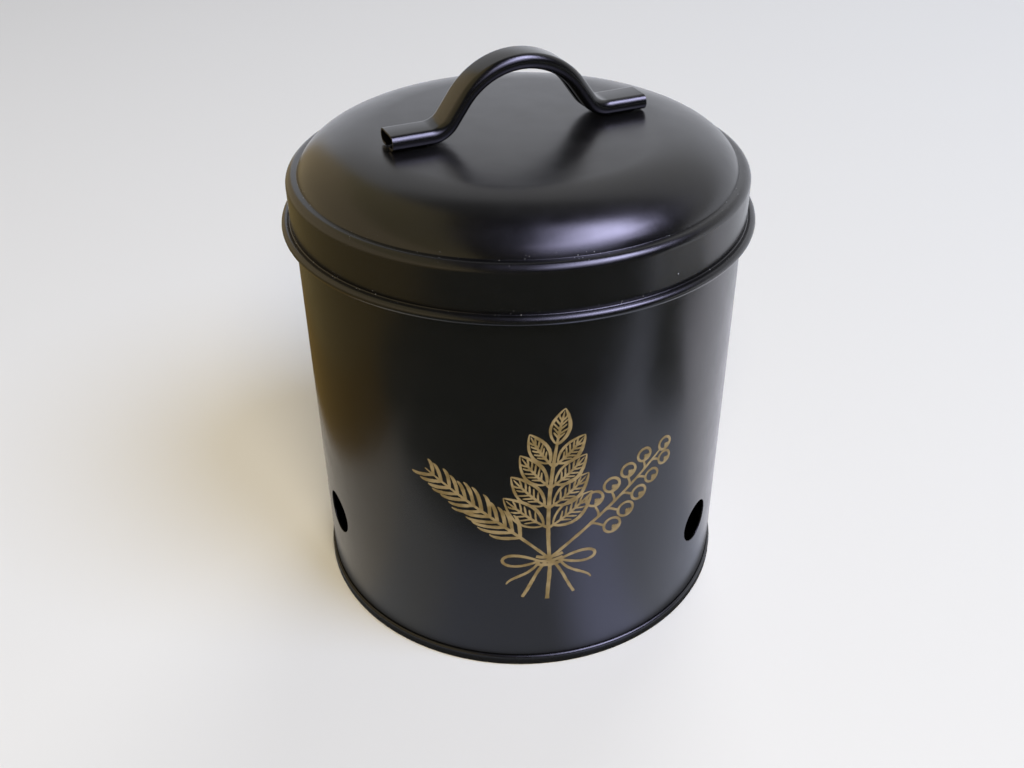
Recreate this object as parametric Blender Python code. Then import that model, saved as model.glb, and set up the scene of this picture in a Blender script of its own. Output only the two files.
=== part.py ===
"""Garlic keeper: a round painted steel tin with vent holes and a slip-over lid with a bow handle.

Metres, +Z up. The origin is at the middle of the tin's foot, on the surface that it stands on.
The front, midway between the two vent holes that face the viewer, is towards -Y.
"""

import math

import bmesh
import bpy
from mathutils import Matrix, Vector

MM = 0.001

# Sheet steel and fits
SHEET = 0.5 * MM
SEATING_GAP = 0.3 * MM
LID_CLEARANCE = 0.3 * MM

# Can wall
WALL_RADIUS = 57.5 * MM
RIM_HEIGHT = 120.9 * MM
RIM_CURL_RADIUS = 1.1 * MM
RIM_CURL_TURN = math.radians(250)
SIDE_SEAM_WIDTH = 5.0 * MM
SIDE_SEAM_AZIMUTH = math.radians(-120)

# Vent holes
VENT_COUNT = 3
VENT_RADIUS = 6.15 * MM
VENT_HEIGHT = 27.6 * MM
FIRST_VENT_AZIMUTH = math.radians(60)
VENT_SIDES = 28

# Can base
FOOT_RING_HEIGHT = 3.2 * MM
FOOT_ROUND = 0.7 * MM
PANEL_RISE = 3.6 * MM
PANEL_ROUND = 1.6 * MM

# Lid
SKIRT_HEIGHT = 12.5 * MM
BEAD_RADIUS = 1.1 * MM
BEAD_REACH = 2.2 * MM
BEAD_FILLET = 0.8 * MM
BEAD_TURN = math.radians(250)
DOME_RADIUS = 54.8 * MM
DOME_FILLET = 0.6 * MM
SHOULDER_RUN = 19.5 * MM
SHOULDER_RISE = 8.4 * MM

# Handle
HANDLE_LENGTH = 67.8 * MM
HANDLE_WIDTH = 9.4 * MM
HANDLE_THICKNESS = 3.8 * MM
HANDLE_RISE = 19.0 * MM
HANDLE_SLOT = 2.4 * MM
ARCH_RADIUS = 15.9 * MM
ARCH_SLOPE = math.radians(46)
FOOT_BEND_RADIUS = 6.9 * MM
HANDLE_AZIMUTH = math.radians(26.5)

# Fineness of round stretches
TURN_STEPS = 64
FILLET_ROUNDS = 20
MERGE_DISTANCE = 0.01 * MM
CUT_OVERRUN = 2.0 * MM
SMOOTH_ANGLE = math.radians(40)

# Sizes that follow from those above
WALL_INSIDE = WALL_RADIUS - SHEET
FOOT_RING_OUTSIDE = WALL_RADIUS + SEATING_GAP + SHEET
FOOT_RING_INSIDE = WALL_INSIDE - SEATING_GAP - SHEET
WALL_FOOT = SHEET + SEATING_GAP
SKIRT_RADIUS = WALL_RADIUS + LID_CLEARANCE + SHEET
LEDGE_HEIGHT = RIM_HEIGHT + SEATING_GAP + SHEET
BEAD_HEIGHT = LEDGE_HEIGHT - SKIRT_HEIGHT
RIDGE_ROUND = RIM_CURL_RADIUS + SEATING_GAP + SHEET
LID_TOP = LEDGE_HEIGHT + SHOULDER_RISE

# Paint
BLACK_PAINT = (0.012, 0.012, 0.013, 1.0)
PAINT_ROUGHNESS = {"can_wall": 0.38, "can_base": 0.42, "lid_shell": 0.36, "lid_handle": 0.34}


def clear_scene():
    for obj in list(bpy.data.objects):
        bpy.data.objects.remove(obj, do_unlink=True)


def black_paint(name):
    """Satin black stove enamel on steel."""
    material = bpy.data.materials.new(name)
    material.use_nodes = True
    shader = material.node_tree.nodes["Principled BSDF"]
    shader.inputs["Base Color"].default_value = BLACK_PAINT
    shader.inputs["Roughness"].default_value = PAINT_ROUGHNESS[name]
    shader.inputs["Metallic"].default_value = 0.0
    return material


def link(name, mesh, material, parent=None):
    obj = bpy.data.objects.new(name, mesh)
    bpy.context.collection.objects.link(obj)
    if material:
        mesh.materials.append(material)
    obj.parent = parent
    return obj


def arc(centre, radius, start, end, steps):
    """Points of an arc about (radius, height) centre, both ends included; angle 0 points outwards."""
    points = []
    for i in range(steps + 1):
        angle = start + (end - start) * i / steps
        points.append((centre[0] + radius * math.cos(angle), centre[1] + radius * math.sin(angle)))
    return points


def turned_sheet(name, line, material, parent=None):
    """Turn the outer line of a sheet round +Z, and give the sheet its thickness on the inner side."""
    mesh = bpy.data.meshes.new(name)
    edges = [(i, i + 1) for i in range(len(line) - 1)]
    mesh.from_pydata([(radius, 0, height) for radius, height in line], edges, [])
    obj = link(name, mesh, material, parent)
    turn = obj.modifiers.new("turn", "SCREW")
    turn.axis = "Z"
    turn.angle = math.tau
    turn.steps = TURN_STEPS
    turn.render_steps = TURN_STEPS
    turn.use_merge_vertices = True
    turn.merge_threshold = MERGE_DISTANCE
    turn.use_smooth_shade = True
    thicken = obj.modifiers.new("sheet thickness", "SOLIDIFY")
    thicken.thickness = SHEET
    thicken.offset = -1
    thicken.use_even_offset = True
    return obj


def azimuth_direction(azimuth):
    """Unit vector at an azimuth counted from the front, positive to the viewer's right."""
    return Vector((math.sin(azimuth), -math.cos(azimuth), 0))


def cutter(name, mesh):
    obj = link(name, mesh, None)
    obj.hide_render = True
    obj.display_type = "WIRE"
    return obj


def boolean(obj, tool, operation):
    step = obj.modifiers.new(tool.name, "BOOLEAN")
    step.operation = operation
    step.solver = "EXACT"
    step.object = tool


def vent_cutter(index):
    """Round bar across the wall at one vent hole."""
    azimuth = FIRST_VENT_AZIMUTH + math.tau * index / VENT_COUNT
    direction = azimuth_direction(azimuth)
    mesh = bpy.data.meshes.new("vent_cutter_%d" % (index + 1))
    shape = bmesh.new()
    bmesh.ops.create_cone(
        shape, cap_ends=True, segments=VENT_SIDES, radius1=VENT_RADIUS, radius2=VENT_RADIUS,
        depth=SHEET + 2 * CUT_OVERRUN)
    place = Matrix.Translation(direction * WALL_INSIDE + Vector((0, 0, VENT_HEIGHT)))
    shape.transform(place @ direction.to_track_quat("Z", "Y").to_matrix().to_4x4())
    shape.to_mesh(mesh)
    shape.free()
    return cutter(mesh.name, mesh)


def side_seam_lap():
    """Second layer of sheet inside the wall where the rolled sheet's ends lap and are welded."""
    outer = WALL_RADIUS - SHEET / 2
    inner = WALL_INSIDE - SHEET
    low = PANEL_RISE + SHEET + SEATING_GAP
    high = RIM_HEIGHT - 2 * RIM_CURL_RADIUS - SHEET
    half_turn = SIDE_SEAM_WIDTH / (2 * WALL_RADIUS)
    mesh = bpy.data.meshes.new("side_seam_lap")
    shape = bmesh.new()
    corners = []
    for turn in (-half_turn, half_turn):
        direction = azimuth_direction(SIDE_SEAM_AZIMUTH + turn)
        corners.append(shape.verts.new(direction * inner))
        corners.append(shape.verts.new(direction * outer))
    face = shape.faces.new((corners[0], corners[1], corners[3], corners[2]))
    raised = bmesh.ops.extrude_face_region(shape, geom=[face])
    upper = [item for item in raised["geom"] if isinstance(item, bmesh.types.BMVert)]
    bmesh.ops.translate(shape, verts=upper, vec=(0, 0, high - low))
    bmesh.ops.translate(shape, verts=shape.verts, vec=(0, 0, low))
    bmesh.ops.recalc_face_normals(shape, faces=shape.faces)
    shape.to_mesh(mesh)
    shape.free()
    return cutter("side_seam_lap", mesh)


def make_can_wall():
    """Cylinder with an inward curled rim, down to its foot inside the base's folded edge."""
    curl_centre = (WALL_RADIUS - RIM_CURL_RADIUS, RIM_HEIGHT - RIM_CURL_RADIUS)
    line = arc(curl_centre, RIM_CURL_RADIUS, RIM_CURL_TURN, 0, 9)
    line.append((WALL_RADIUS, WALL_FOOT))
    wall = turned_sheet("can_wall", line, black_paint("can_wall"))
    boolean(wall, side_seam_lap(), "UNION")
    for index in range(VENT_COUNT):
        boolean(wall, vent_cutter(index), "DIFFERENCE")
    return wall


def make_can_base():
    """Recessed panel whose edge folds down, under and up again round the foot of the wall."""
    down, inwards, up = -math.pi / 2, math.pi, math.pi / 2
    line = [(FOOT_RING_OUTSIDE, FOOT_RING_HEIGHT)]
    line += arc((FOOT_RING_OUTSIDE - FOOT_ROUND, FOOT_ROUND), FOOT_ROUND, 0, down, 3)
    line += arc((FOOT_RING_INSIDE + FOOT_ROUND, FOOT_ROUND), FOOT_ROUND, down, -inwards, 3)
    panel_bend = (FOOT_RING_INSIDE - PANEL_ROUND, PANEL_RISE - PANEL_ROUND)
    line += arc(panel_bend, PANEL_ROUND, 0, up, 3)
    line.append((0, PANEL_RISE))
    return turned_sheet("can_base", line, black_paint("can_base"))


def shoulder_foot():
    """Angle on the shoulder's ellipse where the groove's fillet meets it, and the slope of its normal there."""
    angle = 0
    for _ in range(FILLET_ROUNDS):
        normal = math.atan2(SHOULDER_RUN * math.sin(angle), SHOULDER_RISE * math.cos(angle))
        angle = math.asin(DOME_FILLET * (1 - math.sin(normal)) / SHOULDER_RISE)
    return angle, normal


def make_lid_shell(parent):
    """Flat top, rounded shoulder, groove, ridge, skirt and rolled bead, from the middle outwards."""
    up = math.pi / 2
    foot, normal = shoulder_foot()
    line = [(0, LID_TOP)]
    shoulder_steps = 8
    for i in range(shoulder_steps + 1):
        angle = up + (foot - up) * i / shoulder_steps
        radius = DOME_RADIUS - SHOULDER_RUN * (1 - math.cos(angle))
        line.append((radius, LEDGE_HEIGHT + SHOULDER_RISE * math.sin(angle)))
    groove_radius = line[-1][0] + DOME_FILLET * math.cos(normal)
    line += arc((groove_radius, LEDGE_HEIGHT + DOME_FILLET), DOME_FILLET, math.pi + normal, 3 * up, 3)[1:]
    line += arc((SKIRT_RADIUS - RIDGE_ROUND, LEDGE_HEIGHT - RIDGE_ROUND), RIDGE_ROUND, up, 0, 4)
    bead_centre = (SKIRT_RADIUS + BEAD_REACH - BEAD_RADIUS, BEAD_HEIGHT)
    fillet_centre_radius = SKIRT_RADIUS + BEAD_FILLET
    across = fillet_centre_radius - bead_centre[0]
    above = math.sqrt((BEAD_RADIUS + BEAD_FILLET) ** 2 - across ** 2)
    touch = math.atan2(above, across)
    line += arc((fillet_centre_radius, BEAD_HEIGHT + above), BEAD_FILLET, math.pi, math.pi + touch, 3)
    line += arc(bead_centre, BEAD_RADIUS, touch, touch - BEAD_TURN, 8)[1:]
    return turned_sheet("lid_shell", line, black_paint("lid_shell"), parent)


def handle_path():
    """Middle line of the strap from one end to the other, as (along, height, slope) of each station."""
    foot_height = LID_TOP + SEATING_GAP + HANDLE_THICKNESS / 2
    arch_centre = LID_TOP + HANDLE_RISE - HANDLE_THICKNESS / 2 - ARCH_RADIUS
    shoulder_height = arch_centre + ARCH_RADIUS * math.cos(ARCH_SLOPE)
    bend_top = foot_height + FOOT_BEND_RADIUS * (1 - math.cos(ARCH_SLOPE))
    flank_run = (shoulder_height - bend_top) / math.tan(ARCH_SLOPE)
    shoulder = ARCH_RADIUS * math.sin(ARCH_SLOPE)
    bend_start = shoulder + flank_run + FOOT_BEND_RADIUS * math.sin(ARCH_SLOPE)
    half = [(-HANDLE_LENGTH / 2, foot_height, 0)]
    bend_steps = 5
    for i in range(bend_steps + 1):
        slope = ARCH_SLOPE * i / bend_steps
        along = -bend_start + FOOT_BEND_RADIUS * math.sin(slope)
        half.append((along, foot_height + FOOT_BEND_RADIUS * (1 - math.cos(slope)), slope))
    arch_steps = 6
    for i in range(arch_steps):
        slope = ARCH_SLOPE * (1 - i / arch_steps)
        half.append((-ARCH_RADIUS * math.sin(slope), arch_centre + ARCH_RADIUS * math.cos(slope), slope))
    top = (0, arch_centre + ARCH_RADIUS, 0)
    mirrored = [(-along, height, -slope) for along, height, slope in reversed(half)]
    return half + [top] + mirrored


def handle_section():
    """Outline of the strap: flat on top, both edges rolled under, open along the middle below."""
    up = math.pi / 2
    outer = HANDLE_THICKNESS / 2
    inner = outer - SHEET
    edge = HANDLE_WIDTH / 2 - outer
    lip = HANDLE_SLOT / 2
    outline = [(lip, -outer)]
    outline += arc((edge, 0), outer, -up, up, 5)
    outline += arc((-edge, 0), outer, up, 3 * up, 5)
    outline += [(-lip, -outer), (-lip, -inner)]
    outline += arc((-edge, 0), inner, 3 * up, up, 4)
    outline += arc((edge, 0), inner, up, -up, 4)
    outline.append((lip, -inner))
    return outline


def make_lid_handle(parent):
    """Sweep the strap's section along its path, square to the path at each station."""
    mesh = bpy.data.meshes.new("lid_handle")
    shape = bmesh.new()
    rings = []
    for along, height, slope in handle_path():
        ring = []
        for across, above in handle_section():
            point = (along - above * math.sin(slope), -across, height + above * math.cos(slope))
            ring.append(shape.verts.new(point))
        rings.append(ring)
    for before, after in zip(rings, rings[1:]):
        for i, corner in enumerate(before):
            j = (i + 1) % len(before)
            shape.faces.new((corner, before[j], after[j], after[i]))
    shape.faces.new(rings[0])
    shape.faces.new(rings[-1])
    bmesh.ops.recalc_face_normals(shape, faces=shape.faces)
    shape.to_mesh(mesh)
    shape.free()
    mesh.shade_smooth()
    mesh.set_sharp_from_angle(angle=SMOOTH_ANGLE)
    handle = link("lid_handle", mesh, black_paint("lid_handle"), parent)
    handle.rotation_euler = (0, 0, HANDLE_AZIMUTH)
    return handle


def main():
    clear_scene()
    make_can_wall()
    make_can_base()
    lid = bpy.data.objects.new("lid", None)
    bpy.context.collection.objects.link(lid)
    make_lid_shell(lid)
    make_lid_handle(lid)


main()
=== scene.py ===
"""Garlic keeper: the looks of a round black tin with a bow-handled lid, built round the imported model.

Metres, +Z up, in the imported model's frame: the tin's axis is Z, it stands on Z = 0 and its front faces -Y.
Azimuths are counted from the front, positive to the viewer's right.
"""

import math
import random

import bmesh
import bpy
from mathutils import Matrix, Vector


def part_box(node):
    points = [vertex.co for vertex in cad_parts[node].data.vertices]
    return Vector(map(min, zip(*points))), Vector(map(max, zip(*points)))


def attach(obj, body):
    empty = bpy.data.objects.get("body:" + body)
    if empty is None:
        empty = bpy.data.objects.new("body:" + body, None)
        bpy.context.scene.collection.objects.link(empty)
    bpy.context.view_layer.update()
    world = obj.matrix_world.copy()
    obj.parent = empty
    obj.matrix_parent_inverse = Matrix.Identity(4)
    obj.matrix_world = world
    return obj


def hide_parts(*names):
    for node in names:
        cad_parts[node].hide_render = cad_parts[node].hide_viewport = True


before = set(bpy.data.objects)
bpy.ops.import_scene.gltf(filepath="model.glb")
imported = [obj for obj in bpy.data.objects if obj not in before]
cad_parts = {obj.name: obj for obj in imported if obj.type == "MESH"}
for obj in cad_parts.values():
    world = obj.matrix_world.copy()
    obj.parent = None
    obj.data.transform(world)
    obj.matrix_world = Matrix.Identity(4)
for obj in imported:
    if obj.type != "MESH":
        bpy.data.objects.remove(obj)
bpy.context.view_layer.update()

MM = 0.001

# Angles of an arc's points, counted from outwards over up
UP = math.pi / 2
INWARDS = math.pi
DOWN = 3 * UP

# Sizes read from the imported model
WALL_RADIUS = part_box("can_wall")[1].x
RIM_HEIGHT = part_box("can_wall")[1].z
FOOT_RING_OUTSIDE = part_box("can_base")[1].x
PANEL_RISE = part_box("can_base")[1].z
BEAD_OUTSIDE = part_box("lid_shell")[1].x
LID_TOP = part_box("lid_shell")[1].z
HANDLE_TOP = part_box("lid_handle")[1].z

# Sheet steel and fits
SHEET = 0.5 * MM
SEATING_GAP = 0.3 * MM
LID_CLEARANCE = 0.3 * MM
EDGE_ROUND = 0.12 * MM

# Can wall
RIM_CURL_RADIUS = 1.1 * MM
RIM_CURL_TURN = math.radians(250)
WALL_ROW = 8.0 * MM
SEAM_AZIMUTH = math.radians(-120)
SEAM_PROUD = 0.1 * MM
SEAM_HALF_WIDTH = 0.8 * MM
SEAM_CREST = 0.35 * MM
LAP_WIDTH = 5.0 * MM

# Vent holes
VENT_AZIMUTHS = [math.radians(60), math.radians(180), math.radians(300)]
VENT_RADIUS = 6.15 * MM
VENT_HEIGHT = 27.6 * MM
VENT_PATCH_CELLS = 6
VENT_PATCH_ROW = 2
VENT_PATCH_CORNER = math.radians(-135)
VENT_RINGS = 6

# Can base
FOOT_RING_HEIGHT = 3.2 * MM
FOOT_ROUND = 0.7 * MM
PANEL_ROUND = 1.6 * MM
PANEL_BEAD_RADIUS = 43.0 * MM
PANEL_BEAD_WIDTH = 3.0 * MM
PANEL_BEAD_DEPTH = 0.4 * MM

# Lid
SKIRT_HEIGHT = 12.5 * MM
BEAD_RADIUS = 1.1 * MM
BEAD_FILLET = 0.25 * MM
BEAD_TURN = math.radians(250)
DOME_RADIUS = 55.7 * MM
DOME_FILLET = 0.15 * MM
SHOULDER_RUN = 20.4 * MM
SHOULDER_DIP = 2.0 * MM

# Handle
HANDLE_LENGTH = 67.8 * MM
HANDLE_WIDTH = 9.4 * MM
HANDLE_THICKNESS = 3.8 * MM
HANDLE_SLOT = 2.4 * MM
ARCH_RADIUS = 18.8 * MM
ARCH_SLOPE = math.radians(54)
FOOT_BEND_RADIUS = 6.6 * MM
HANDLE_AZIMUTH = math.radians(26.5)

# Fineness
WALL_COLUMNS = 240
TURN_STEPS = 240
MERGE_DISTANCE = 0.01 * MM
FILLET_ROUNDS = 20
ROUND_STEPS = 8
RIDGE_STEPS = 10
RIM_CURL_STEPS = 20
BEAD_STEPS = 24
PANEL_BEAD_STEPS = 12
SHOULDER_STEPS = 40
LAP_STEPS = 4
BEND_STEPS = 16
ARCH_STEPS = 20
STRAP_OUTSIDE_STEPS = 16
STRAP_INSIDE_STEPS = 12
EDGE_SEGMENTS = 2
SHEET_EDGE_ANGLE = math.radians(50)
STRAP_EDGE_ANGLE = math.radians(60)
SMOOTH_ANGLE = math.radians(40)

# Sizes that follow from those above
WALL_INSIDE = WALL_RADIUS - SHEET
WALL_FOOT = SHEET + SEATING_GAP
FOOT_RING_INSIDE = WALL_INSIDE - SEATING_GAP - SHEET
SKIRT_RADIUS = WALL_RADIUS + LID_CLEARANCE + SHEET
LEDGE_HEIGHT = RIM_HEIGHT + SEATING_GAP + SHEET
BEAD_HEIGHT = LEDGE_HEIGHT - SKIRT_HEIGHT
RIDGE_ROUND = RIM_CURL_RADIUS + SEATING_GAP + SHEET
SHOULDER_RISE = LID_TOP - LEDGE_HEIGHT + SHOULDER_DIP

# Print on the front
PRINT_AZIMUTH = math.radians(10)
PRINT_FOOT = 25.0 * MM
INK_HEIGHT = 0.03 * MM
INK_ROOT = 0.02 * MM
INK_LAYER = 0.002 * MM
INK_LAYERS = 12
OUTLINE = 0.95 * MM
FINE_LINE = 0.5 * MM
STROKE_STEPS = 18
SHORT_STROKE_STEPS = 10
SWELL_POWER = 0.6
WAVER_SHARES = (0.9, 1.1)
PRINT_SEED = 7

# Kinds of stroke: width, and the shares of it that are left at the start and at the end
NEAR_EDGE = (OUTLINE, 0.6, 0.3)
FAR_EDGE = (OUTLINE * 0.75, 0.6, 0.3)
LEAF_RIB = (OUTLINE * 0.7, 1.0, 0.2)
LEAF_VEIN = (FINE_LINE, 0.9, 0.3)
LEAF_STALK = (OUTLINE * 0.8, 1.0, 0.8)
LEAFY_STEM = (OUTLINE * 1.1, 1.0, 0.6)
BERRY_RING = (OUTLINE * 0.8, 0.9, 0.9)
BERRY_CRESCENT = (FINE_LINE, 0.3, 0.3)
BERRY_STALK = (FINE_LINE * 1.3, 1.0, 0.8)
BERRY_STEM = (OUTLINE * 0.95, 1.0, 0.6)
NEEDLE = (OUTLINE * 1.05, 0.7, 0.2)
NEEDLE_STEM = (OUTLINE * 0.9, 1.0, 0.4)
TWINE = (OUTLINE, 0.8, 0.8)
BOW_LOOP = (OUTLINE * 0.9, 0.9, 0.9)
BOW_TAIL = (OUTLINE * 0.85, 0.9, 0.4)

# Stems of the bunch: cut foot, tip, and the leans at the knot and at the tip
KNOT = Vector((0, 13.0 * MM))
NEEDLE_LINE = ((6.5 * MM, 0.5 * MM), (-31.0 * MM, 39.0 * MM), math.radians(-42), math.radians(-54))
LEAFY_LINE = ((-0.5 * MM, -1.0 * MM), (1.5 * MM, 49.0 * MM), math.radians(-4), math.radians(8))
BERRY_LINE = ((-7.0 * MM, 0), (30.0 * MM, 39.0 * MM), math.radians(46), math.radians(50))
FOOT_PULL_SHARE = 0.4
KNOT_PULL_SHARE = 0.12
STEM_PULL_SHARE = 0.35
STEM_STEPS = 30

# Leaves in pairs: place, size and lean change from the lowest pair to the stem's tip,
# and each vein's length is thrown between its two shares
LEAF_PAIRS = 4
LEAF_LENGTH = 13.2 * MM
LEAF_WIDTH = 6.2 * MM
LEAF_BEND = 1.5 * MM
LEAF_STALK_LENGTH = 1.5 * MM
LEAF_STALK_STEPS = 4
LEAF_PLACE_SHARES = (0.46, 1.0)
LEAF_SIZE_SHARES = (1.0, 0.66)
LEAF_LEANS = (math.radians(54), math.radians(40))
LEAF_BASE_POWER = 0.85
LEAF_ROUND_POWER = 0.9
TIP_LEAF_LENGTH = LEAF_LENGTH * 0.78
TIP_LEAF_WIDTH = LEAF_WIDTH * 0.74
TIP_LEAF_BEND = 0.5 * MM
RIB_SHARES = (-0.12, 0.92)
VEIN_COUNT = 5
VEIN_STEPS = 8
VEIN_PLACE_SHARES = (0.16, 0.78)
VEIN_RISE_SHARE = 0.17
VEIN_LENGTH_SHARES = (0.62, 0.86)

# Berries, left and right in turn: place, size, reach and lean change up to the stem's tip
BERRY_COUNT = 9
BERRY_RADIUS = 2.3 * MM
BERRY_PLACE_SHARES = (0.5, 0.98)
BERRY_SIZE_SHARES = (1.0, 0.78)
BERRY_REACHES = (6.8 * MM, 4.4 * MM)
BERRY_LEANS = (math.radians(56), math.radians(46))
BERRY_STALK_BEND_SHARE = 0.3
BERRY_STALK_STEPS = 8
TIP_BERRY_RADIUS = BERRY_RADIUS * 0.8
BERRY_STEPS = 20
CRESCENT_SHARES = (0.7, 0.45, 0.2)
CRESCENT_ENDS = (math.radians(95), math.radians(183))
CRESCENT_STEPS = 8

# Needles in pairs: place and size change up to the stem's tip,
# and each needle's unevenness and lean are thrown between two values
NEEDLE_PAIRS = 12
NEEDLE_LENGTH = 7.0 * MM
NEEDLE_PLACE_SHARES = (0.44, 1.0)
NEEDLE_SIZE_SHARES = (1.0, 0.6)
NEEDLE_UNEVEN_SHARES = (0.85, 1.1)
NEEDLE_LEANS = (math.radians(38), math.radians(50))
NEEDLE_BEND_SHARE = 0.28
NEEDLE_TIP_PULL_SHARE = 1.3

# Twine round the stems, and its bow; places are counted from the knot, to the right and up
TWINE_PITCH = 1.3 * MM
TWINE_SLANT = 0.3 * MM
TWINE_REACH = 3.4 * MM
TWINE_SAG = Vector((0, -1.0 * MM))
TWINE_PULL_SHARE = 0.3
BOW_START = (2.6 * MM, -0.6 * MM)
LOOP_HIGH_PULL = (12.0 * MM, 6.5 * MM)
LOOP_LOW_PULL = (13.0 * MM, -6.0 * MM)
LOOP_STEPS = 24
TAIL_PULL = (2.0 * MM, -5.0 * MM)
TAIL_END = (8.5 * MM, -8.0 * MM)
TAIL_PULL_SHARE = 0.6


# Camera

CAMERA_PLACE = (12.8 * MM, -261.68 * MM, 230.34 * MM)
CAMERA_TURN = (math.radians(55.85), math.radians(0.61), math.radians(2.86))
CAMERA_LENS = 38.61
CAMERA_SENSOR = 36.0
CAMERA_NEAR = 5.0 * MM


def make_camera():
    data = bpy.data.cameras.new("camera")
    data.lens = CAMERA_LENS
    data.sensor_width = CAMERA_SENSOR
    data.clip_start = CAMERA_NEAR
    camera = bpy.data.objects.new("camera", data)
    camera.location = CAMERA_PLACE
    camera.rotation_euler = CAMERA_TURN
    bpy.context.scene.collection.objects.link(camera)
    bpy.context.scene.camera = camera


# Shared steps


def between(ends, share):
    """Value at a share of the way from the first end to the second."""
    return ends[0] + (ends[1] - ends[0]) * share


def add_object(name, mesh, material):
    piece = bpy.data.objects.new(name, mesh)
    bpy.context.scene.collection.objects.link(piece)
    mesh.materials.append(material)
    return piece


# Materials


class Nodes:
    """Adds and links the nodes of one material or world."""

    def __init__(self, owner):
        owner.use_nodes = True
        self.tree = owner.node_tree
        self.tree.nodes.clear()

    def add(self, kind, inputs=None, **settings):
        node = self.tree.nodes.new("ShaderNode" + kind)
        for name, value in settings.items():
            setattr(node, name, value)
        for name, value in (inputs or {}).items():
            self.put(value, node.inputs[name])
        return node

    def put(self, value, socket):
        if isinstance(value, bpy.types.NodeSocket):
            self.tree.links.new(value, socket)
        else:
            socket.default_value = value

    def math(self, operation, first, second=None):
        inputs = {0: first}
        if second is not None:
            inputs[1] = second
        return self.add("Math", inputs, operation=operation).outputs[0]

    def noise(self, place, scale, detail=2.0):
        inputs = {"Vector": place, "Scale": scale, "Detail": detail}
        return self.add("TexNoise", inputs).outputs["Fac"]

    def ramp(self, value, low, high, start=0.0, end=1.0):
        """Carries value from low..high to start..end, easing in and out."""
        inputs = {"Value": value, "From Min": low, "From Max": high, "To Min": start, "To Max": end}
        return self.add("MapRange", inputs, interpolation_type="SMOOTHSTEP").outputs["Result"]

    def mix(self, share, first, second):
        node = self.add("Mix", data_type="RGBA")
        self.put(share, node.inputs["Factor"])
        self.put(first, node.inputs["A"])
        self.put(second, node.inputs["B"])
        return node.outputs["Result"]


PAINT_TONE = (0.003, 0.003, 0.0032)
PAINT_IOR = 1.6
CAN_ROUGHNESS = 0.25
BASE_ROUGHNESS = 0.27
LID_ROUGHNESS = 0.25
HANDLE_ROUGHNESS = 0.22
TONE_SPREAD = 0.2
GLOSS_SPREAD = 0.02
PEEL_SCALE = 850.0
PEEL_DEPTH = 0.008 * MM
UNEVEN_SCALE = 45.0
UNEVEN_DETAIL = 1.0
UNEVEN_DEPTH = 0.06 * MM
MOTTLE_SCALE = 160.0
MOTTLE_DETAIL = 3.0
MOTTLE_SPAN = (0.3, 0.7)
PATCH_SPAN = (0.35, 0.65)
SPECK_CELL = 9.0 * MM
SPECK_RADIUS = 0.2 * MM
GRAIN_CELL = 0.8 * MM
GRAIN_RADIUS = 0.14 * MM
GRAIN_SHARE = 0.4
FEW_SPECKS_SHARE = 0.05
LID_SPECKS_SHARE = 0.35
GROOVE_DUST_REACH = 2.4 * MM
BEAD_DUST_REACH = 1.6 * MM
SPECK_STRENGTH = 0.9
RING_STRENGTH = 0.6
DUST_TONE = (0.42, 0.42, 0.44, 1.0)
DUST_ROUGHNESS = 0.8


def dust_specks(nodes, place, share, cell, radius):
    """Mask of round specks, one on each of a share of the cells."""
    cells = nodes.add("TexVoronoi", {"Vector": place, "Scale": 1 / cell})
    dot = nodes.ramp(cells.outputs["Distance"], radius / cell, radius / cell / 2)
    lot = nodes.add("SeparateColor", {"Color": cells.outputs["Color"]}).outputs["Red"]
    return nodes.math("MULTIPLY", dot, nodes.math("LESS_THAN", lot, share))


def dust_ring(nodes, place, radius, height, reach):
    """Mask of the dust that settles along a ring-shaped corner."""
    split = nodes.add("SeparateXYZ", {"Vector": place})
    flat = nodes.add("CombineXYZ", {"X": split.outputs["X"], "Y": split.outputs["Y"]})
    length = nodes.add("VectorMath", {0: flat.outputs[0]}, operation="LENGTH").outputs["Value"]
    out = nodes.math("SUBTRACT", length, radius)
    above = nodes.math("SUBTRACT", split.outputs["Z"], height)
    square = nodes.math("ADD", nodes.math("POWER", out, 2.0), nodes.math("POWER", above, 2.0))
    near = nodes.ramp(nodes.math("SQRT", square), reach, 0.0)
    grain = dust_specks(nodes, place, GRAIN_SHARE, GRAIN_CELL, GRAIN_RADIUS)
    patch = nodes.ramp(nodes.noise(place, MOTTLE_SCALE), *PATCH_SPAN)
    return nodes.math("MULTIPLY", near, nodes.math("MULTIPLY", grain, patch))


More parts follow.
